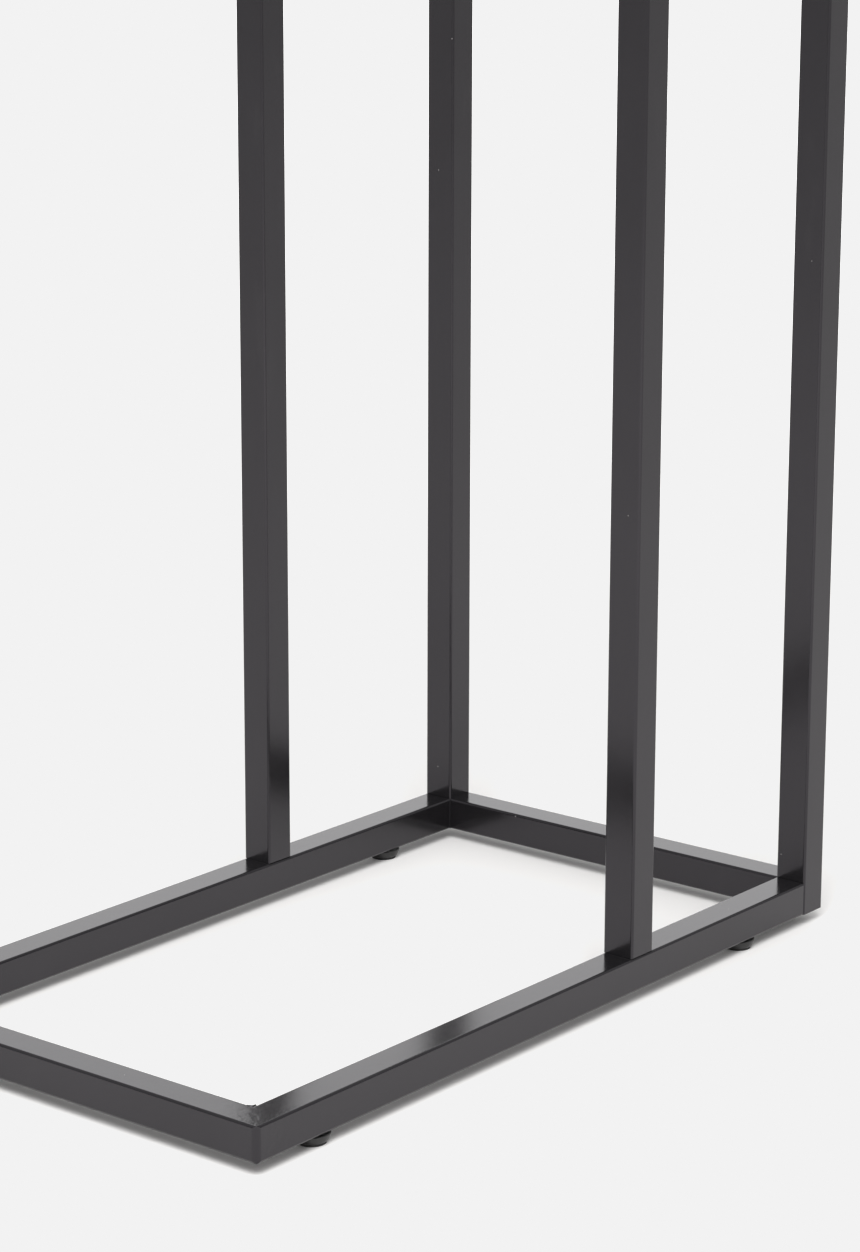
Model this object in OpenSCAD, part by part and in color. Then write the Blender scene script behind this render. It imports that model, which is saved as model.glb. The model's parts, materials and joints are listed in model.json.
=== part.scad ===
// Valet stand: a welded base of square tube, two inverted U frames, a tray, a trouser bar
// and a jacket hanger, on four levelling feet.
// X is the width, -Y is the front, Z is up. The origin is on the floor, in the middle.

/* [Tube] */
// Outer side of the square tube
tube = 20; // [16:1:25]
// Wall thickness of the tube
wall = 1.5; // [1.2:0.1:2]
// Radius of the tube's long edges
edge_r = 1.5; // [1:0.1:2]

/* [Base] */
// Width of the base, outside to outside
base_w = 290; // [260:5:340]
// Depth of the base, outside to outside
base_d = 510; // [460:5:560]
// Height of the rails' undersides above the floor
floor_gap = 7; // [7:0.5:9]
// Radius that grinding leaves on each mitred corner
corner_r = 3.5; // [2:0.5:4]
// Leg length of the weld in each inner corner
weld_leg = 4; // [2:0.5:5]
// Chamfer round the tube ends that are bolted and not welded
end_chamfer = 0.6; // [0.3:0.1:1]

/* [Frames] */
// Outside depth over the front and rear posts
post_span = 195; // [160:5:230]
// Height of the front frame's top face
front_top = 880; // [840:10:940]
// Height of the rear frame's top face
rear_top = 1050; // [1000:10:1120]

/* [Feet] */
// Distance from the front of the base to the front feet's centres
foot_from_front = 53; // [40:1:80]
// Distance from the back of the base to the rear feet's centres
foot_from_back = 75; // [50:1:100]
// Diameter of a foot's bowl below its flange
bowl_d = 18; // [17:0.2:19]
// Gap between a bowl and the rail at rest
bowl_gap = 1.2; // [1:0.1:1.5]

/* [Tray] */
// Thickness of the tray's walls
tray_wall = 12; // [10:1:14]
// Height of the tray's walls above its bottom
tray_wall_h = 30; // [20:1:50]
// Thickness of the tray's bottom
tray_floor = 8; // [6:1:10]

/* [Trouser bar] */
// Diameter of the bar
bar_d = 20; // [16:1:24]
// Height of the bar's centre
bar_z = 790; // [740:10:820]

/* [Jacket hanger] */
// Width over the shoulders
hanger_w = 430; // [400:5:460]
// Thickness, front to back
hanger_t = 38; // [32:1:40]
// Height of the neck above the top rail
neck_h = 62; // [50:1:75]
// How far the shoulders fall from neck to tip
shoulder_drop = 50; // [40:1:55]
// How far the shoulders curve forward
shoulder_sweep = 22; // [10:1:28]

/* [Hidden] */
$fn = 48;

half_w = base_w / 2;
half_d = base_d / 2;
half_t = tube / 2;
inner = tube - 2 * wall;
LEFT = -1;
RIGHT = 1;

// Centre lines of the tubes
side_x = half_w - half_t;
rail_z = floor_gap + half_t;
front_rail_y = -half_d + half_t;
rear_y = half_d - half_t;
front_y = half_d - post_span + half_t;
tie_z = front_top - half_t;
rail_top = floor_gap + tube;
foot_front_y = -half_d + foot_from_front;
foot_rear_y = half_d - foot_from_back;

// How far a cutting shape runs past what it cuts
over = 1;

// Bolts, plugs and their holes
bolt_r = 3;
bolt_hole_r = 3.3;
bolt_len = 18;
bolt_head_r = 5.2;
bolt_head_h = 3.3;
hex_r = 2.3;
hex_depth = 2;
access_r = 6;
plug_len = 16;
plug_clear = 0.1;
thread_clear = 0.05;
cap_depth = 3;

// Wood screws
screw_r = 2;
screw_head_r = 4;
screw_head_h = 2.2;
screw_bite = 20;
screw_clear = 0.2;
screw_tip_gap = 1;
slot_w = 0.8;
slot_depth = 1.2;

// Feet
stud_r = 3 - thread_clear;
insert_r = 4.5;
insert_len = 8;
stud_len = 18;
sole_r = 7.6;
sole_h = 1.4;
spigot_r = 1.6;
spigot_h = 1.4;
sole_gap = 0.08;
bowl_bottom_r = 8;
bowl_curve_h = 2;
flange_r = bowl_d / 2 + 0.9;
flange_h = 0.9;
bowl_top = floor_gap - bowl_gap;
bowl_lip = 1.2;
bowl_chamfer = 0.3;
stud_in_bowl = bowl_lip + 1;

// Tray and hanger
joint_gap = 0.2;
tray_y0 = front_y - half_t;
tray_y1 = rear_y - half_t - joint_gap;
hanger_flat = half_w + 5;
hanger_tip_fall = 14;
tip_r = 13;
outline_steps = 24;
under_steps = 4;
screw_x = 60;
screw_inset = 30;

// ---- Square tube ----

module rounded_square(side, r) {
    square([side, side - 2 * r], center = true);
    square([side - 2 * r, side], center = true);
    for (x = [-1, 1], y = [-1, 1])
        translate([x, y] * (side / 2 - r)) circle(r = r);
}

// Tube along +Z, centred on the Z axis
module tube_z(len) {
    linear_extrude(len)
        difference() {
            rounded_square(tube, edge_r);
            square(inner, center = true);
        }
}

// Tube along +Y
module tube_y(len) {
    rotate([-90, 0, 0]) tube_z(len);
}

// Tube along X, centred on the origin
module tube_x(len) {
    translate([-len / 2, 0, 0]) rotate([0, 90, 0]) tube_z(len);
}

// What deburring takes off the outer edges of a tube end at the origin, for a tube along +Z
module chamfer_off_end() {
    for (turn = [0:90:270])
        rotate([0, 0, turn])
            translate([half_t, 0, 0])
                rotate([0, 45, 0])
                    cube([end_chamfer * sqrt(2), 2 * tube, end_chamfer * sqrt(2)], center = true);
}

// What a mitre takes off the tube that runs along +Y from a corner at the origin
module mitre_off_leg() {
    rotate([0, 0, 135]) translate([-tube, 0, -tube]) cube([4 * tube, 3 * tube, 2 * tube]);
}

// What a mitre takes off the tube that runs along -X from a corner at the origin
module mitre_off_bar() {
    rotate([0, 0, -45]) translate([-3 * tube, 0, -tube]) cube([4 * tube, 3 * tube, 2 * tube]);
}

// Solid behind a vertical corner that the weld's grinding has rounded, corner at the origin
module ground_corner(len) {
    linear_extrude(2 * tube, center = true) {
        translate([-len, corner_r]) square([len, len]);
        translate([-len, 0]) square([len - corner_r, len]);
        translate([-corner_r, corner_r]) circle(r = corner_r);
    }
}

// Puts a corner shape at the right-hand front corner of the base, or at the left-hand one
module at_base_corner(side) {
    mirror([side == LEFT ? 1 : 0, 0, 0]) translate([half_w, -half_d, rail_z]) children();
}

// Puts a corner shape at the top corner of an upright frame
module at_top_corner(side, y, top) {
    mirror([side == LEFT ? 1 : 0, 0, 0]) translate([half_w, y, top]) rotate([-90, 0, 0]) children();
}

// Weld in an inner corner, corner of the outside at the origin
module corner_weld() {
    translate([-tube, tube, 0])
        linear_extrude(tube - 2 * edge_r, center = true)
            polygon([[0, 0], [-weld_leg, 0], [0, weld_leg]]);
}

// ---- Fasteners ----

// Pan head bolt: the head's seat is at the origin, the shank runs along +Z
module frame_bolt() {
    cylinder(r = bolt_r, h = bolt_len);
    difference() {
        translate([0, 0, -bolt_head_h]) cylinder(r = bolt_head_r, h = bolt_head_h);
        translate([0, 0, -bolt_head_h - over]) cylinder(r = hex_r, h = hex_depth + over, $fn = 6);
    }
}

// Wood screw: the head's seat is at the origin, the shank runs along +Z
module wood_screw(len) {
    cylinder(r = screw_r, h = len);
    difference() {
        translate([0, 0, -screw_head_h]) cylinder(r = screw_head_r, h = screw_head_h);
        for (turn = [0, 90])
            rotate([0, 0, turn])
                translate([-screw_r, -slot_w / 2, -screw_head_h - over])
                    cube([2 * screw_r, slot_w, slot_depth + over]);
    }
}

// A wood screw's way through a tube, from the same origin
module screw_way() {
    translate([0, 0, -over]) cylinder(r = screw_r + screw_clear, h = tube + 2 * over);
}

// A wood screw's pilot hole in the wood beyond the tube, from the same origin
module pilot_hole() {
    cylinder(r = screw_r + thread_clear, h = tube + screw_bite);
}

// Tapped plug inside a tube that starts at the origin and runs along +Z
module threaded_plug() {
    difference() {
        linear_extrude(plug_len) square(inner - 2 * plug_clear, center = true);
        translate([0, 0, -over]) cylinder(r = bolt_r + thread_clear, h = plug_len + 2 * over);
    }
}

// Each bolted joint: the tube to be held starts at the origin and runs along +Z
module at_bolted_joints() {
    for (side = [LEFT, RIGHT]) {
        translate([side * side_x, front_y, rail_top]) children();
        for (z = [rail_z, tie_z])
            translate([side * side_x, half_d - tube, z]) rotate([90, 0, 0]) children();
    }
}

// The bolt's way through the tube behind a bolted joint
module bolt_way() {
    translate([0, 0, -half_t]) cylinder(r = bolt_hole_r, h = tube);
    translate([0, 0, -tube - over]) cylinder(r = access_r, h = half_t + over);
}

// ---- Base ----

module at_feet(side) {
    for (y = [foot_front_y, foot_rear_y])
        translate([side * side_x, y, floor_gap]) children();
}

module side_rail(side) {
    color("#2b2a2c")
        difference() {
            intersection() {
                translate([side * side_x, -half_d, rail_z]) tube_y(base_d - tube);
                at_base_corner(side) ground_corner(2 * base_d);
            }
            at_base_corner(side) mitre_off_leg();
            at_feet(side) translate([0, 0, -over]) cylinder(r = insert_r, h = half_t + over);
            at_bolted_joints() bolt_way();
            at_bolted_joints() chamfer_off_end();
        }
}

module front_rail() {
    color("#2b2a2c")
        difference() {
            intersection() {
                translate([0, front_rail_y, rail_z]) tube_x(base_w);
                at_base_corner(LEFT) ground_corner(2 * base_d);
                at_base_corner(RIGHT) ground_corner(2 * base_d);
            }
            at_base_corner(LEFT) mitre_off_bar();
            at_base_corner(RIGHT) mitre_off_bar();
        }
}

module back_rail() {
    color("#2b2a2c") translate([0, rear_y, rail_z]) tube_x(base_w - 2 * tube);
}

module base_corner_welds() {
    color("#2b2a2c")
        for (side = [LEFT, RIGHT])
            at_base_corner(side) corner_weld();
}

// ---- Upright frames ----

module rear_post(side) {
    color("#2b2a2c")
        difference() {
            intersection() {
                translate([side * side_x, rear_y, floor_gap]) tube_z(rear_top - floor_gap);
                at_top_corner(side, rear_y, rear_top) ground_corner(2 * rear_top);
            }
            at_top_corner(side, rear_y, rear_top) mitre_off_leg();
            at_bolted_joints() bolt_way();
        }
}

module front_post(side) {
    color("#2b2a2c")
        difference() {
            intersection() {
                translate([side * side_x, front_y, rail_top]) tube_z(front_top - rail_top);
                at_top_corner(side, front_y, front_top) ground_corner(2 * front_top);
            }
            at_top_corner(side, front_y, front_top) mitre_off_leg();
            at_bolted_joints() chamfer_off_end();
            translate([0, front_y, bar_z])
                rotate([0, 90, 0]) cylinder(r = screw_r + screw_clear, h = base_w + 2 * over, center = true);
        }
}

// Rail across the top of a pair of posts
module head_rail(y, top) {
    difference() {
        intersection() {
            translate([0, y, top - half_t]) tube_x(base_w);
            at_top_corner(LEFT, y, top) ground_corner(2 * top);
            at_top_corner(RIGHT, y, top) ground_corner(2 * top);
        }
        at_top_corner(LEFT, y, top) mitre_off_bar();
        at_top_corner(RIGHT, y, top) mitre_off_bar();
    }
}

module top_rail() {
    color("#2b2a2c")
        difference() {
            head_rail(rear_y, rear_top);
            at_hanger_screws() screw_way();
        }
}

module front_top_rail() {
    color("#2b2a2c") head_rail(front_y, front_top);
}

module rear_cross_rail() {
    color("#2b2a2c") translate([0, rear_y, tie_z]) tube_x(base_w - 2 * tube);
}

module tie_rail(side) {
    color("#2b2a2c")
        difference() {
            translate([side * side_x, front_y + half_t, tie_z]) tube_y(post_span - 2 * tube);
            at_bolted_joints() chamfer_off_end();
            at_tray_screws() screw_way();
        }
}

module top_corner_welds() {
    color("#2b2a2c")
        for (side = [LEFT, RIGHT]) {
            at_top_corner(side, rear_y, rear_top) corner_weld();
            at_top_corner(side, front_y, front_top) corner_weld();
        }
}

// ---- Joining pieces ----

module threaded_plugs() {
    color("silver") at_bolted_joints() threaded_plug();
}

module frame_bolts() {
    color("silver") at_bolted_joints() translate([0, 0, -wall]) frame_bolt();
}

module bolt_hole_caps() {
    color("#151515")
        at_bolted_joints()
            translate([0, 0, -tube]) cylinder(r = access_r - thread_clear, h = cap_depth);
}

module post_end_caps() {
    color("#151515")
        for (side = [LEFT, RIGHT])
            translate([side * side_x, rear_y, floor_gap])
                linear_extrude(cap_depth) square(inner - 2 * plug_clear, center = true);
}

module foot_inserts() {
    color("silver")
        for (side = [LEFT, RIGHT])
            at_feet(side)
                difference() {
                    cylinder(r = insert_r, h = insert_len);
                    translate([0, 0, -over]) cylinder(r = stud_r + thread_clear, h = insert_len + 2 * over);
                }
}

// ---- Feet: each sole stays still on the floor while the bowl and stud turn ----

module at_foot(side, y) {
    translate([side * side_x, y, 0]) children();
}

module foot_sole(side, y) {
    color("#202020")
        at_foot(side, y) {
            cylinder(r = sole_r, h = sole_h);
            cylinder(r = spigot_r, h = sole_h + spigot_h);
        }
}

module foot_bowl(side, y) {
    bottom = sole_h + sole_gap;
    flare = bowl_d / 2 - bowl_bottom_r;
    flange_z = bowl_top - flange_h;
    lower = [for (a = [0:15:90])
        [bowl_bottom_r + flare * sin(a), bottom + bowl_curve_h * (1 - cos(a))]];
    flange = [
        [bowl_d / 2, flange_z],
        [flange_r, flange_z],
        [flange_r, bowl_top - bowl_chamfer],
        [flange_r - bowl_chamfer, bowl_top],
    ];
    color("#1a1a1a")
        at_foot(side, y)
            difference() {
                rotate_extrude()
                    polygon(concat([[0, bottom]], lower, flange, [[0, bowl_top]]));
                cylinder(r = spigot_r + thread_clear, h = sole_h + spigot_h + sole_gap);
                translate([0, 0, bowl_top - stud_in_bowl]) cylinder(r = stud_r, h = stud_in_bowl + over);
            }
}

module foot_stud(side, y) {
    color("silver")
        at_foot(side, y)
            translate([0, 0, bowl_top - stud_in_bowl])
                cylinder(r = stud_r, h = stud_len + stud_in_bowl);
}

// ---- Tray ----

module at_tray_screws() {
    for (side = [LEFT, RIGHT], y = [front_y + screw_inset, rear_y - screw_inset])
        translate([side * (half_w - tray_wall / 2), y, front_top - tube]) children();
}

module tray_bottom() {
    color("#a9784a")
        translate([-half_w + tray_wall, tray_y0 + tray_wall, front_top])
            cube([base_w - 2 * tray_wall, tray_y1 - tray_y0 - 2 * tray_wall, tray_floor]);
}

// Wall along +X from a corner at the origin, mitred at both ends
module mitred_wall(len) {
    translate([0, 0, front_top])
        linear_extrude(tray_floor + tray_wall_h)
            polygon([[0, 0], [len, 0], [len - tray_wall, tray_wall], [tray_wall, tray_wall]]);
}

module tray_front_wall() {
    color("#a9784a") translate([-half_w, tray_y0, 0]) mitred_wall(base_w);
}

module tray_back_wall() {
    color("#a9784a") translate([half_w, tray_y1, 0]) rotate([0, 0, 180]) mitred_wall(base_w);
}

module tray_side_wall(side) {
    color("#a9784a")
        difference() {
            mirror([side == LEFT ? 1 : 0, 0, 0])
                translate([half_w, tray_y0, 0]) rotate([0, 0, 90]) mitred_wall(tray_y1 - tray_y0);
            at_tray_screws() pilot_hole();
        }
}

module tray_screws() {
    color("silver") at_tray_screws() wood_screw(tube + screw_bite - screw_tip_gap);
}

// ---- Trouser bar ----

module at_bar_ends() {
    for (side = [LEFT, RIGHT])
        translate([side * half_w, front_y, bar_z]) rotate([0, -90 * side, 0]) children();
}

module trouser_bar() {
    color("#a9784a")
        difference() {
            translate([0, front_y, bar_z])
                rotate([0, 90, 0])
                    cylinder(r = bar_d / 2, h = base_w - 2 * tube - 2 * joint_gap, center = true);
            at_bar_ends() pilot_hole();
        }
}

module trouser_bar_screws() {
    color("silver") at_bar_ends() wood_screw(tube + screw_bite - screw_tip_gap);
}

// ---- Jacket hanger ----

function hanger_top(x) = neck_h - shoulder_drop * (1 - cos(90 * x / (hanger_w / 2)));
function hanger_under(x) = x < hanger_flat ? 0
    : -hanger_tip_fall * (1 - cos(90 * (x - hanger_flat) / (hanger_w / 2 - hanger_flat)));
function sweep(x) = -shoulder_sweep * pow(x / (hanger_w / 2), 2);

module at_hanger_screws() {
    for (side = [LEFT, RIGHT])
        translate([side * screw_x, rear_y, rear_top - tube]) children();
}

// Right half of the hanger's outline in front view, from neck to tip and back under
function hanger_half() =
    let (
        reach = hanger_w / 2 - tip_r,
        tip_half = (hanger_top(reach) - hanger_under(reach)) / 2,
        tip_z = hanger_under(reach) + tip_half
    )
    concat(
        [for (i = [0:outline_steps - 1]) let (x = reach * i / outline_steps) [x, hanger_top(x)]],
        [for (a = [90:-15:-90]) [reach + tip_half * cos(a), tip_z + tip_half * sin(a)]],
        [for (i = [under_steps - 1:-1:0])
            let (x = hanger_flat + (reach - hanger_flat) * i / under_steps) [x, hanger_under(x)]]
    );

// Front view of the hanger, z = 0 on the top rail
module hanger_front_view() {
    right = hanger_half();
    polygon(concat(right, [for (i = [len(right) - 1:-1:1]) [-right[i][0], right[i][1]]]));
}

// Plan of the hanger, y = 0 on its back face at the middle
module hanger_plan() {
    half = hanger_w / 2 + over;
    xs = [for (i = [-outline_steps:outline_steps]) half * i / outline_steps];
    polygon(concat(
        [for (x = xs) [x, sweep(abs(x))]],
        [for (i = [len(xs) - 1:-1:0]) [xs[i], sweep(abs(xs[i])) - hanger_t]]));
}

module jacket_hanger() {
    color("#a9784a")
        difference() {
            intersection() {
                translate([0, half_d, rear_top])
                    rotate([90, 0, 0])
                        linear_extrude(base_d) hanger_front_view();
                translate([0, half_d, rear_top - 2 * tube])
                    linear_extrude(2 * tube + neck_h + over) hanger_plan();
            }
            at_hanger_screws() pilot_hole();
        }
}

module hanger_screws() {
    color("silver") at_hanger_screws() wood_screw(tube + screw_bite - screw_tip_gap);
}

side_rail(LEFT);  // side_rail_left
side_rail(RIGHT);  // side_rail_right
front_rail();
back_rail();
rear_post(LEFT);  // rear_post_left
rear_post(RIGHT);  // rear_post_right
top_rail();
rear_cross_rail();
front_post(LEFT);  // front_post_left
front_post(RIGHT);  // front_post_right
front_top_rail();
tie_rail(LEFT);  // tie_rail_left
tie_rail(RIGHT);  // tie_rail_right
base_corner_welds();
top_corner_welds();
threaded_plugs();
frame_bolts();
bolt_hole_caps();
post_end_caps();
foot_inserts();
foot_sole(LEFT, foot_front_y);  // foot_sole_front_left
foot_sole(RIGHT, foot_front_y);  // foot_sole_front_right
foot_sole(LEFT, foot_rear_y);  // foot_sole_rear_left
foot_sole(RIGHT, foot_rear_y);  // foot_sole_rear_right
foot_bowl(LEFT, foot_front_y);  // foot_bowl_front_left
foot_bowl(RIGHT, foot_front_y);  // foot_bowl_front_right
foot_bowl(LEFT, foot_rear_y);  // foot_bowl_rear_left
foot_bowl(RIGHT, foot_rear_y);  // foot_bowl_rear_right
foot_stud(LEFT, foot_front_y);  // foot_stud_front_left
foot_stud(RIGHT, foot_front_y);  // foot_stud_front_right
foot_stud(LEFT, foot_rear_y);  // foot_stud_rear_left
foot_stud(RIGHT, foot_rear_y);  // foot_stud_rear_right
tray_bottom();
tray_front_wall();
tray_back_wall();
tray_side_wall(LEFT);  // tray_side_wall_left
tray_side_wall(RIGHT);  // tray_side_wall_right
tray_screws();
trouser_bar();
trouser_bar_screws();
jacket_hanger();
hanger_screws();
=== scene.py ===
"""Looks of the valet stand: powder-coated square tube, wooden tray, bar and hanger, levelling feet."""
import json
import math

import bmesh
import bpy
from mathutils import Matrix, Quaternion, Vector


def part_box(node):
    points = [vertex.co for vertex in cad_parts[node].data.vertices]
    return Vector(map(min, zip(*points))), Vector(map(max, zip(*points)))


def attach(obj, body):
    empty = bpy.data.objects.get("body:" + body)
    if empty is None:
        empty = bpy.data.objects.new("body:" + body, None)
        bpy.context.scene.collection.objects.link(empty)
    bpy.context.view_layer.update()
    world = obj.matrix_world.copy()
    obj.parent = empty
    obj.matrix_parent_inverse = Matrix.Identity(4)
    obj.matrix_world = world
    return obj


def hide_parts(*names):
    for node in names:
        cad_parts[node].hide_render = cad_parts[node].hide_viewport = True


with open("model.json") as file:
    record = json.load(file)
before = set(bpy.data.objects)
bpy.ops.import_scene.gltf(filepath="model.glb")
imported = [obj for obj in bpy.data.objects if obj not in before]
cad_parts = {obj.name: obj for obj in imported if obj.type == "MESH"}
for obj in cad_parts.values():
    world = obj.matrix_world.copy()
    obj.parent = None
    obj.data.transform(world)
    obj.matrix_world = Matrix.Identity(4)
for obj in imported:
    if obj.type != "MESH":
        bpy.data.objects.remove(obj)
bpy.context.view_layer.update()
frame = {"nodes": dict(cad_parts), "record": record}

MM = 0.001

# The jacket hanger's outline, as the CAD has it
SHOULDER_DROP = 50 * MM
SHOULDER_SWEEP = 22 * MM
TIP_FALL = 14 * MM
TIP_REACH = 13 * MM
HANGER_FLAT = 150 * MM
HANGER_THICK = 38 * MM

# The hanger's tips: the share of the thickness that is left there, and how far short of the tip the
# last ring stops, so that the end still has a face
TIP_SHARE = 0.45
TIP_SHORT = 0.05 * MM

# What is rounded off the wood: walls, tray bottom, bar ends, and the hanger's top and low edges
BOARD_ROUND = 1.4 * MM
BOTTOM_ROUND = 0.4 * MM
BAR_ROUND = 1.5 * MM
HANGER_ROUND = 9 * MM
HANGER_LOW_ROUND = 2.5 * MM

# The weld beads: their legs, how far their ends stay inside the tubes' faces, how much the legs swell
# and shrink along a bead and how often, and how much thinner they are at its ends
WELD_LEG = 4.5 * MM
WELD_INSET = 0.25 * MM
WELD_SWELL = 0.05
WELD_SWELLS = 3.5
WELD_FADE = 0.35

# The ground corners of the base: how far from a corner's low outer point the unevenness is whole, and
# where it ends
GROUND_WHOLE = 20 * MM
GROUND_ENDS = 45 * MM

# Colours, and the tint of the coat's sheen
COAT_DARK = (0.0070, 0.0066, 0.0071, 1)
COAT_LIGHT = (0.0095, 0.0090, 0.0098, 1)
COAT_SHEEN = (1.0, 0.945, 1.035, 1)
ZINC_BLUE = (0.55, 0.56, 0.55, 1)
ZINC_YELLOW = (0.68, 0.66, 0.6, 1)
WOOD_LATE = (0.125, 0.06, 0.029, 1)
WOOD_EARLY = (0.23, 0.122, 0.061, 1)
WOOD_CLOUD = (0.16, 0.078, 0.038, 1)
WOOD_FIBRE = (0.075, 0.034, 0.016, 1)
WOOD_PORE = (0.03, 0.014, 0.008, 1)

# The photograph's view
CAMERA_LENS = 102.446
CAMERA_SENSOR = 36
CAMERA_TARGET = Vector((0.0827, -0.0430, 0.2298))
CAMERA_DISTANCE = 1.9
CAMERA_AZIMUTH = 38.96
CAMERA_ELEVATION = 14.30
CAMERA_ROLL = 0.127

# The world: the room's radiance, and two brighter lobes, the backdrop behind the object and a fill in
# front of it. A lobe is the way to its middle, the cosines where it starts and is full, its radiance.
BACKDROP_WAY = (-0.629, 0.777, 0.0)
FILL_WAY = (0.5, -0.62, 0.6)
ROOM_LIGHT = 0.58
LOBES = (
    (BACKDROP_WAY, 0.6, 0.92, 1.24),
    (FILL_WAY, 0.35, 0.8, 0.45),
)

# The floor's half width, the radiance that it gives off towards the backdrop where the softbox's light
# has faded, and the cosines from the backdrop's way where that part starts and is full
FLOOR_HALF = 30
PAPER_LIGHT = 1.3
LIT_START = 0.3
LIT_FULL = 0.85

# A weak glow of the floor all round, and the distances where it starts and is full
FAR_GLOW = 0.1
GLOW_START = 0.95
GLOW_FULL = 2.85

# The pale grey that clipped white shows as
WHITE_SHOWN = 0.888

# The softbox, and the distance over which its light on the floor fades
SOFTBOX_PLACE = (1.155, -1.427, 2.62)
SOFTBOX_SIZE = 1.9
SOFTBOX_POWER = 98.0
SOFTBOX_FALL = 3.0


# ---- Materials ----

class Graph:
    """The nodes of a material or a world, made from left to right."""

    def __init__(self, owner, shader="Principled BSDF"):
        owner.use_nodes = True
        self.owner = owner
        self.tree = owner.node_tree
        self.shader = self.tree.nodes[shader]

    def add(self, kind, **settings):
        node = self.tree.nodes.new(kind)
        for key, value in settings.items():
            setattr(node, key, value)
        return node

    def link(self, output, target):
        self.tree.links.new(output, target)

    def feed(self, node, name, value):
        """Sets an input to a number, or links it to another node's output."""
        socket = node.inputs[name]
        if isinstance(value, bpy.types.NodeSocket):
            self.link(value, socket)
        else:
            socket.default_value = value

    def dot(self, vector, way):
        """How far a vector goes along a way."""
        node = self.add("ShaderNodeVectorMath", operation="DOT_PRODUCT")
        self.link(vector, node.inputs[0])
        node.inputs[1].default_value = way
        return node.outputs["Value"]

    def place(self, stretch=(1, 1, 1)):
        """Object coordinates in metres, stretched along the axes."""
        coord = self.add("ShaderNodeTexCoord")
        mapping = self.add("ShaderNodeMapping")
        self.link(coord.outputs["Object"], mapping.inputs["Vector"])
        mapping.inputs["Scale"].default_value = stretch
        return mapping.outputs["Vector"]

    def noise(self, vector, scale, detail=2.0, roughness=0.5, distortion=0.0):
        node = self.add("ShaderNodeTexNoise")
        self.link(vector, node.inputs["Vector"])
        self.feed(node, "Scale", scale)
        self.feed(node, "Detail", detail)
        self.feed(node, "Roughness", roughness)
        self.feed(node, "Distortion", distortion)
        return node.outputs["Fac"]

    def spread(self, value, low, high, to_low=0.0, to_high=1.0, curve="LINEAR"):
        """Maps a value from low..high to to_low..to_high, and clamps it there."""
        node = self.add("ShaderNodeMapRange", interpolation_type=curve)
        self.feed(node, "Value", value)
        self.feed(node, "From Min", low)
        self.feed(node, "From Max", high)
        self.feed(node, "To Min", to_low)
        self.feed(node, "To Max", to_high)
        return node.outputs["Result"]

    def math(self, operation, a, b=0.0):
        node = self.add("ShaderNodeMath", operation=operation)
        self.feed(node, 0, a)
        self.feed(node, 1, b)
        return node.outputs["Value"]

    def mix(self, factor, a, b):
        """Mixes two colours."""
        node = self.add("ShaderNodeMix", data_type="RGBA")
        self.feed(node, 0, factor)
        self.feed(node, 6, a)
        self.feed(node, 7, b)
        return node.outputs[2]

    def bump(self, height, distance, strength=1.0, normal=None):
        node = self.add("ShaderNodeBump")
        self.feed(node, "Height", height)
        self.feed(node, "Distance", distance)
        self.feed(node, "Strength", strength)
        if normal is not None:
            self.link(normal, node.inputs["Normal"])
        return node.outputs["Normal"]


def new_material(name):
    """A graph around a new material's shader."""
    return Graph(bpy.data.materials.new(name))


def gray(value, warmth=0.0):
    """A near-neutral colour, warmer or cooler by warmth."""
    return (value * (1 + warmth), value, value * (1 - warmth), 1.0)


def specks(g, vector, scale, size, share):
    """Small round dots, size in cells, on that share of the cells."""
    cells = g.add("ShaderNodeTexVoronoi", feature="F1")
    g.link(vector, cells.inputs["Vector"])
    g.feed(cells, "Scale", scale)
    dot = g.spread(cells.outputs["Distance"], size, size * 0.6)
    pick = g.add("ShaderNodeSeparateColor")
    g.link(cells.outputs["Color"], pick.inputs["Color"])
    chosen = g.math("LESS_THAN", pick.outputs["Red"], share)
    return g.math("MULTIPLY", dot, chosen)


def near_corner(g, here):
    """One at the base's mitred front corners, where the welds were ground, fading to nothing."""
    apart = g.add("ShaderNodeSeparateXYZ")
    g.link(here, apart.inputs["Vector"])
    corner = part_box("front_rail")[0]
    x = g.math("ADD", g.math("ABSOLUTE", apart.outputs["X"]), corner.x)
    y = g.math("SUBTRACT", apart.outputs["Y"], corner.y)
    z = g.math("SUBTRACT", apart.outputs["Z"], corner.z)
    flat = g.math("ADD", g.math("MULTIPLY", x, x), g.math("MULTIPLY", y, y))
    reach = g.math("SQRT", g.math("ADD", flat, g.math("MULTIPLY", z, z)))
    return g.spread(reach, GROUND_ENDS, GROUND_WHOLE)


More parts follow.
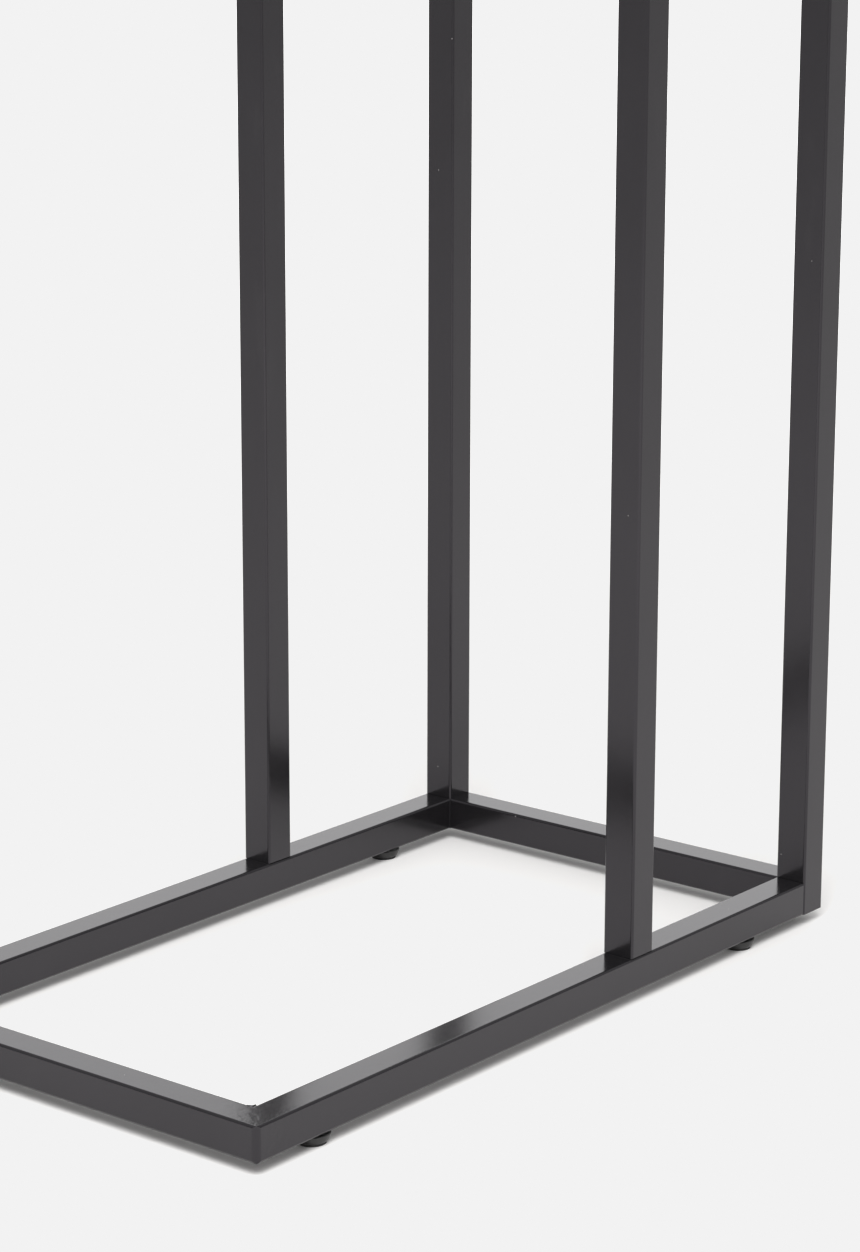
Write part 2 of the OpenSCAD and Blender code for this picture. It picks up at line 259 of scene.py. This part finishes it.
def powder_coat():
    """Satin black powder coat: faint clouds and smears, orange peel, dust, uneven ground corners."""
    g = new_material("powder_coat")
    here = g.place()
    clouds = g.noise(here, 14, detail=4, roughness=0.6)
    peel = g.noise(here, 900, detail=1)
    ripple = g.noise(here, 120, detail=2)
    smears = g.noise(g.place((1, 1, 0.25)), 45, detail=5, roughness=0.65)
    dust = specks(g, here, 110, 0.045, 0.14)
    body = g.mix(g.spread(clouds, 0.3, 0.7), COAT_DARK, COAT_LIGHT)
    dusty = g.mix(g.spread(smears, 0.6, 0.85, 0, 0.06), body, gray(0.12, 0.02))
    colour = g.mix(g.math("MULTIPLY", dust, 0.7), dusty, gray(0.35, 0.03))
    sheen = g.math("ADD", g.spread(clouds, 0.3, 0.7, 0.155, 0.185), g.spread(smears, 0.55, 0.85, 0, 0.05))
    rough = g.math("ADD", sheen, g.math("MULTIPLY", dust, 0.3))
    waves = g.bump(ripple, 0.000035, 0.6)
    lumps = g.math("MULTIPLY", g.noise(here, 260, detail=2), near_corner(g, here))
    skin = g.bump(peel, 0.000012, 0.7, g.bump(lumps, 0.0001, 1.0, waves))
    g.feed(g.shader, "Base Color", colour)
    g.feed(g.shader, "Roughness", rough)
    g.link(skin, g.shader.inputs["Normal"])
    g.feed(g.shader, "IOR", 1.5)
    g.feed(g.shader, "Specular Tint", COAT_SHEEN)
    return g.owner


def zinc():
    """Zinc-plated steel with a brushed, slightly blotched skin."""
    g = new_material("zinc")
    here = g.place()
    blotch = g.noise(here, 180, detail=4, roughness=0.6)
    grain = g.noise(g.place((1, 1, 0.1)), 5200, detail=2)
    tint = g.mix(g.spread(blotch, 0.3, 0.7), ZINC_BLUE, ZINC_YELLOW)
    g.feed(g.shader, "Base Color", tint)
    g.feed(g.shader, "Roughness", g.spread(blotch, 0.3, 0.7, 0.24, 0.4))
    g.feed(g.shader, "Metallic", 1.0)
    g.link(g.bump(grain, 0.00002, 0.5), g.shader.inputs["Normal"])
    return g.owner


def moulded_plastic():
    """Black moulded nylon with a fine spark-eroded grain."""
    g = new_material("moulded_plastic")
    here = g.place()
    clouds = g.noise(here, 160, detail=3)
    grain = g.noise(here, 2600, detail=2)
    scuff = g.noise(g.place((1, 1, 3)), 420, detail=5, roughness=0.7)
    body = g.mix(g.spread(clouds, 0.3, 0.7), gray(0.016), gray(0.023, 0.01))
    g.feed(g.shader, "Base Color", g.mix(g.spread(scuff, 0.55, 0.8, 0, 0.2), body, gray(0.08, 0.02)))
    g.feed(g.shader, "Roughness", g.spread(scuff, 0.35, 0.75, 0.30, 0.46))
    g.link(g.bump(grain, 0.00002, 0.7), g.shader.inputs["Normal"])
    return g.owner


def rubber():
    """Dull black rubber, a little grey with floor dust."""
    g = new_material("rubber")
    here = g.place()
    dust = g.noise(here, 700, detail=5, roughness=0.7)
    g.feed(g.shader, "Base Color", g.mix(g.spread(dust, 0.45, 0.75), gray(0.012), gray(0.04, 0.04)))
    g.feed(g.shader, "Roughness", g.spread(dust, 0.3, 0.8, 0.7, 0.92))
    g.link(g.bump(dust, 0.00006, 0.8), g.shader.inputs["Normal"])
    return g.owner


def walnut():
    """Oiled walnut with the grain along each piece's own X: growth bands, fibres, pores, soft sheen."""
    g = new_material("walnut")
    wander = g.noise(g.place((1.2, 6, 6)), 3.0, detail=3, roughness=0.55)
    rings = g.add("ShaderNodeTexWave", wave_type="BANDS", bands_direction="Z", wave_profile="SIN")
    g.link(g.place((0.35, 3.0, 7.0)), rings.inputs["Vector"])
    g.feed(rings, "Scale", 4.2)
    g.feed(rings, "Distortion", 12.0)
    g.feed(rings, "Detail", 3.0)
    g.feed(rings, "Detail Scale", 0.9)
    g.feed(rings, "Detail Roughness", 0.6)
    fibre = g.noise(g.place((9, 420, 420)), 1.6, detail=5, roughness=0.65)
    pores = g.noise(g.place((55, 1500, 1500)), 1.0, detail=1)
    growth = g.spread(rings.outputs["Fac"], 0.1, 0.95)
    band = g.mix(g.math("MULTIPLY", growth, g.spread(wander, 0.25, 0.6, 0.45, 1)), WOOD_LATE, WOOD_EARLY)
    clouded = g.mix(g.spread(wander, 0.32, 0.7, 0, 0.55), band, WOOD_CLOUD)
    streaked = g.mix(g.spread(fibre, 0.35, 0.75, 0, 0.5), clouded, WOOD_FIBRE)
    pore = g.spread(pores, 0.62, 0.72)
    g.feed(g.shader, "Base Color", g.mix(g.math("MULTIPLY", pore, 0.7), streaked, WOOD_PORE))
    sheen = g.spread(fibre, 0.3, 0.8, 0.36, 0.5)
    g.feed(g.shader, "Roughness", g.math("ADD", sheen, g.math("MULTIPLY", pore, 0.2)))
    relief = g.bump(fibre, 0.00008, 0.5)
    g.link(g.bump(g.math("SUBTRACT", 1.0, pore), 0.00012, 0.6, relief), g.shader.inputs["Normal"])
    return g.owner


def paper():
    """The floor: matt white paper, lit from within behind the object as a lit backdrop is."""
    g = new_material("floor_paper")
    here = g.place()
    fleck = g.noise(here, 3.0, detail=3)
    g.feed(g.shader, "Base Color", g.mix(fleck, gray(0.83, 0.012), gray(0.85, 0.012)))
    g.feed(g.shader, "Roughness", 0.9)
    g.feed(g.shader, "Specular IOR Level", 0.2)
    away = g.add("ShaderNodeVectorMath", operation="LENGTH")
    g.link(here, away.inputs[0])
    distance = away.outputs["Value"]
    sector = g.spread(g.math("DIVIDE", g.dot(here, BACKDROP_WAY), distance), LIT_START, LIT_FULL)
    fall = g.math("DIVIDE", g.math("MULTIPLY", distance, distance), SOFTBOX_FALL ** 2)
    left = g.math("POWER", g.math("ADD", fall, 1.0), -2.0)
    lost = g.math("MULTIPLY", g.math("SUBTRACT", 1.0, left), sector)
    g.feed(g.shader, "Emission Color", gray(1.0))
    behind = g.math("MULTIPLY", lost, PAPER_LIGHT)
    around = g.spread(distance, GLOW_START, GLOW_FULL, 0, FAR_GLOW)
    g.feed(g.shader, "Emission Strength", g.math("MAXIMUM", behind, around))
    return g.owner


MATERIALS = {
    "black_powder_coat": powder_coat(),
    "zinc_steel": zinc(),
    "black_plastic": moulded_plastic(),
    "sole_rubber": rubber(),
    "oiled_wood": walnut(),
}


def dress_cad_nodes():
    """Every carried-over CAD node gets the finish that the record gives it."""
    for row in frame["record"]["subparts"]:
        node = frame["nodes"][row["node"]]
        node.data.materials.clear()
        node.data.materials.append(MATERIALS[row["material_slot"]])


# ---- Meshes ----

def new_piece(name, mesh_maker, turn=0.0, place=(0, 0, 0)):
    """An object from a bmesh maker, in its own frame, turned about Z and put in place."""
    bm = bmesh.new()
    mesh_maker(bm)
    bmesh.ops.recalc_face_normals(bm, faces=bm.faces)
    mesh = bpy.data.meshes.new(name)
    bm.to_mesh(mesh)
    bm.free()
    mesh.shade_smooth()
    piece = bpy.data.objects.new(name, mesh)
    bpy.context.scene.collection.objects.link(piece)
    piece.matrix_world = Matrix.Translation(place) @ Matrix.Rotation(turn, 4, "Z")
    return piece


def skin(bm, rings):
    """Closes a row of rings of vertices: a face at either end, and quads from ring to ring."""
    bm.faces.new(list(reversed(rings[0])))
    bm.faces.new(rings[-1])
    count = len(rings[0])
    for a, b in zip(rings, rings[1:]):
        for i in range(count):
            j = (i + 1) % count
            bm.faces.new((a[i], a[j], b[j], b[i]))


def round_edges(piece, radius, segments=4):
    """Rounds a piece's sharp edges."""
    bevel = piece.modifiers.new("rounding", "BEVEL")
    bevel.width = radius
    bevel.segments = segments
    bevel.limit_method = "ANGLE"
    bevel.angle_limit = math.radians(30)
    bevel.harden_normals = True


# ---- Wooden pieces ----

def finish_wood(piece, *nodes):
    """Oiled wood that stays with the frame and stands for these CAD nodes."""
    piece.data.materials.append(MATERIALS["oiled_wood"])
    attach(piece, "root")
    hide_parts(*nodes)


def board_maker(length, thick, height, mitre):
    """A board along X with its outer face at y = 0, mitred at both ends by mitre."""
    def make(bm):
        plan = [(0, 0), (length, 0), (length - mitre, thick), (mitre, thick)]
        skin(bm, [[bm.verts.new((x, y, z)) for x, y in plan] for z in (0, height)])
    return make


def make_tray():
    """Four mitred walls and the bottom that is let in between them."""
    front_low, front_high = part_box("tray_front_wall")
    back_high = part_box("tray_back_wall")[1]
    thick = front_high.y - front_low.y
    height = front_high.z - front_low.z
    across = front_high.x - front_low.x
    deep = back_high.y - front_low.y
    z = front_low.z
    walls = {
        "front_wall": (across, 0, (front_low.x, front_low.y, z)),
        "side_wall_right": (deep, 90, (front_high.x, front_low.y, z)),
        "back_wall": (across, 180, (front_high.x, back_high.y, z)),
        "side_wall_left": (deep, 270, (front_low.x, back_high.y, z)),
    }
    for name, (length, turn, place) in walls.items():
        piece = new_piece(f"tray_{name}_board", board_maker(length, thick, height, thick),
                          math.radians(turn), place)
        round_edges(piece, BOARD_ROUND)
        finish_wood(piece, f"tray_{name}")
    low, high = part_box("tray_bottom")
    size = high - low
    piece = new_piece("tray_bottom_board", board_maker(size.x, size.y, size.z, 0), 0, low)
    round_edges(piece, BOTTOM_ROUND, 2)
    finish_wood(piece, "tray_bottom")


def lathe_maker(profile, steps=64):
    """A turned piece along X from (x, radius) points."""
    def make(bm):
        turns = [2 * math.pi * i / steps for i in range(steps)]
        skin(bm, [[bm.verts.new((x, radius * math.cos(a), radius * math.sin(a))) for a in turns]
                  for x, radius in profile])
    return make


def make_trouser_bar():
    """A turned bar with rounded ends."""
    low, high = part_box("trouser_bar")
    length = high.x - low.x
    radius = (high.z - low.z) / 2
    end = [(BAR_ROUND * (1 - math.cos(t)), radius - BAR_ROUND * (1 - math.sin(t)))
           for t in (math.radians(a) for a in range(0, 91, 15))]
    profile = end + [(length - x, r) for x, r in reversed(end)]
    piece = new_piece("trouser_bar_turned", lathe_maker(profile), 0,
                      (low.x, (low.y + high.y) / 2, (low.z + high.z) / 2))
    finish_wood(piece, "trouser_bar")


def make_hanger():
    """A shoulder form: rounded sections from tip to tip, swept forward, flat on the top rail."""
    low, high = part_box("jacket_hanger")
    rail_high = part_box("top_rail")[1]
    half = (high.x - low.x) / 2
    seat = rail_high.z
    neck = high.z - seat
    back = rail_high.y
    reach = half - TIP_REACH

    def top(x):
        """The shoulder line's height over the rail, x from the middle."""
        return neck - SHOULDER_DROP * (1 - math.cos(math.pi / 2 * x / half))

    def under(x):
        """The underside's height over the rail: flat, then falling to the tip."""
        if x < HANGER_FLAT:
            return 0.0
        return -TIP_FALL * (1 - math.cos(math.pi / 2 * (x - HANGER_FLAT) / (half - HANGER_FLAT)))

    def make(bm):
        steps = 60
        middle = [reach * i / steps for i in range(-steps, steps + 1)]
        tip = [reach + TIP_REACH * math.sin(math.radians(a)) for a in range(10, 90, 10)]
        tip.append(half - TIP_SHORT)
        rings = []
        for x in [-x for x in reversed(tip)] + middle + tip:
            far = abs(x)
            high_z, low_z = top(far), under(far)
            if far > reach:
                shrink = math.sqrt(max(0.0, 1 - ((far - reach) / TIP_REACH) ** 2))
            else:
                shrink = 1.0
            centre_z = (high_z + low_z) / 2
            half_z = (high_z - low_z) / 2 * shrink
            y_back = -SHOULDER_SWEEP * (far / half) ** 2
            half_y = HANGER_THICK / 2 * (TIP_SHARE + (1 - TIP_SHARE) * shrink)
            centre_y = y_back - HANGER_THICK / 2
            rings.append([bm.verts.new((x, centre_y + y, centre_z + z))
                          for y, z in rounded_section(half_y, half_z)])
        skin(bm, rings)

    piece = new_piece("jacket_hanger_form", make, 0, (0, back, seat))
    finish_wood(piece, "jacket_hanger")


def rounded_section(half_y, half_z, arc_steps=8):
    """Points round a section: well rounded at the top, slightly at the underside."""
    points = []
    top_r = min(HANGER_ROUND, half_y * 0.95, half_z * 0.95)
    low_r = min(HANGER_LOW_ROUND, half_z * 0.5)
    corners = [(1, 1, top_r, 0), (-1, 1, top_r, 90), (-1, -1, low_r, 180), (1, -1, low_r, 270)]
    for sy, sz, radius, start in corners:
        for step in range(arc_steps + 1):
            a = math.radians(start + 90 * step / arc_steps)
            points.append((sy * (half_y - radius) + radius * math.cos(a),
                           sz * (half_z - radius) + radius * math.sin(a)))
    return points


# ---- Welds ----

def bead_maker(corners, leg, low, high, layers=14, arc_steps=8):
    """Concave beads in inner corners: a point, the ways along its two tubes, and along the bead."""
    def make(bm):
        for corner, way_a, way_b, way_up in corners:
            rings = []
            for k in range(layers + 1):
                t = k / layers
                swell = WELD_SWELL * math.sin(2 * math.pi * WELD_SWELLS * t + corner.x * 40)
                reach = leg * (1 + swell - WELD_FADE * abs(2 * t - 1) ** 8)
                ring = [corner]
                for step in range(arc_steps + 1):
                    a = math.pi / 2 * step / arc_steps
                    along_a = way_a * reach * (1 - math.sin(a))
                    along_b = way_b * reach * (1 - math.cos(a))
                    ring.append(corner + along_a + along_b)
                rise = way_up * (low + (high - low) * t)
                rings.append([bm.verts.new(p + rise) for p in ring])
            skin(bm, rings)
    return make


def make_welds():
    """Beads in the mitred corners of the base and of the two upright frames, ground nearly flush."""
    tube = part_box("back_rail")[1].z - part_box("back_rail")[0].z
    reach = tube / 2 - WELD_INSET
    x_way, y_way, z_way = Vector((1, 0, 0)), Vector((0, 1, 0)), Vector((0, 0, 1))
    low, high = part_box("front_rail")
    middle = (low.z + high.z) / 2
    base = [(Vector((side * (high.x - tube), high.y, middle)), -side * x_way, y_way, z_way)
            for side in (-1, 1)]
    tops = []
    for rail in ("top_rail", "front_top_rail"):
        low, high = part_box(rail)
        middle = (low.y + high.y) / 2
        tops += [(Vector((side * (high.x - tube), middle, low.z)), -side * x_way, -z_way, y_way)
                 for side in (-1, 1)]
    for name, corners, node in (("base_weld_beads", base, "base_corner_welds"),
                                ("top_weld_beads", tops, "top_corner_welds")):
        piece = new_piece(name, bead_maker(corners, WELD_LEG, -reach, reach))
        piece.data.materials.append(MATERIALS["black_powder_coat"])
        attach(piece, "root")
        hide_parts(node)


# ---- Set ----

def make_softbox():
    """One square softbox high up on the camera's side, aimed at the origin."""
    light = bpy.data.lights.new("softbox", "AREA")
    light.shape = "SQUARE"
    light.size = SOFTBOX_SIZE
    light.energy = SOFTBOX_POWER
    lamp = bpy.data.objects.new("softbox", light)
    bpy.context.scene.collection.objects.link(lamp)
    lamp.location = SOFTBOX_PLACE
    lamp.rotation_mode = "QUATERNION"
    lamp.rotation_quaternion = (-Vector(SOFTBOX_PLACE)).to_track_quat("-Z", "Y")


def make_floor():
    """A wide flat sheet at the height that the object stands on."""
    def make(bm):
        bmesh.ops.create_grid(bm, x_segments=8, y_segments=8, size=FLOOR_HALF)
    floor = new_piece("floor", make)
    floor.data.materials.append(paper())


def make_world():
    """A dim studio with a pale backdrop low down behind the object and a weaker fill from the front."""
    world = bpy.data.worlds.new("studio")
    bpy.context.scene.world = world
    g = Graph(world, "Background")
    around = g.add("ShaderNodeTexCoord").outputs["Generated"]
    light = ROOM_LIGHT
    for way, start, full, radiance in LOBES:
        lobe = g.spread(g.dot(around, way), start, full, 0, radiance, curve="SMOOTHSTEP")
        light = g.math("ADD", lobe, light)
    g.feed(g.shader, "Strength", light)
    g.feed(g.shader, "Color", gray(1.0))


def make_camera():
    """The photograph's camera, from its target, distance and angles."""
    camera = bpy.data.objects.new("camera", bpy.data.cameras.new("camera"))
    bpy.context.scene.collection.objects.link(camera)
    camera.data.lens = CAMERA_LENS
    camera.data.sensor_width = CAMERA_SENSOR
    a, e = math.radians(CAMERA_AZIMUTH), math.radians(CAMERA_ELEVATION)
    back = Vector((math.sin(a) * math.cos(e), -math.cos(a) * math.cos(e), math.sin(e)))
    camera.location = CAMERA_TARGET + back * CAMERA_DISTANCE
    camera.rotation_mode = "QUATERNION"
    level = (-back).to_track_quat("-Z", "Y")
    camera.rotation_quaternion = level @ Quaternion((0, 0, 1), math.radians(CAMERA_ROLL))
    bpy.context.scene.camera = camera


def expose():
    """A plain exposure in which the white paper clips, shown as the photograph's pale grey ground."""
    view = bpy.context.scene.view_settings
    view.view_transform = "Standard"
    view.use_curve_mapping = True
    mapping = view.curve_mapping
    mapping.extend = "HORIZONTAL"
    combined = 3
    line = mapping.curves[combined].points
    line[1].location = (1.0, WHITE_SHOWN)
    for point in line:
        point.handle_type = "VECTOR"
    mapping.update()


make_camera()
dress_cad_nodes()
make_tray()
make_trouser_bar()
make_hanger()
make_welds()
make_floor()
make_world()
make_softbox()
expose()
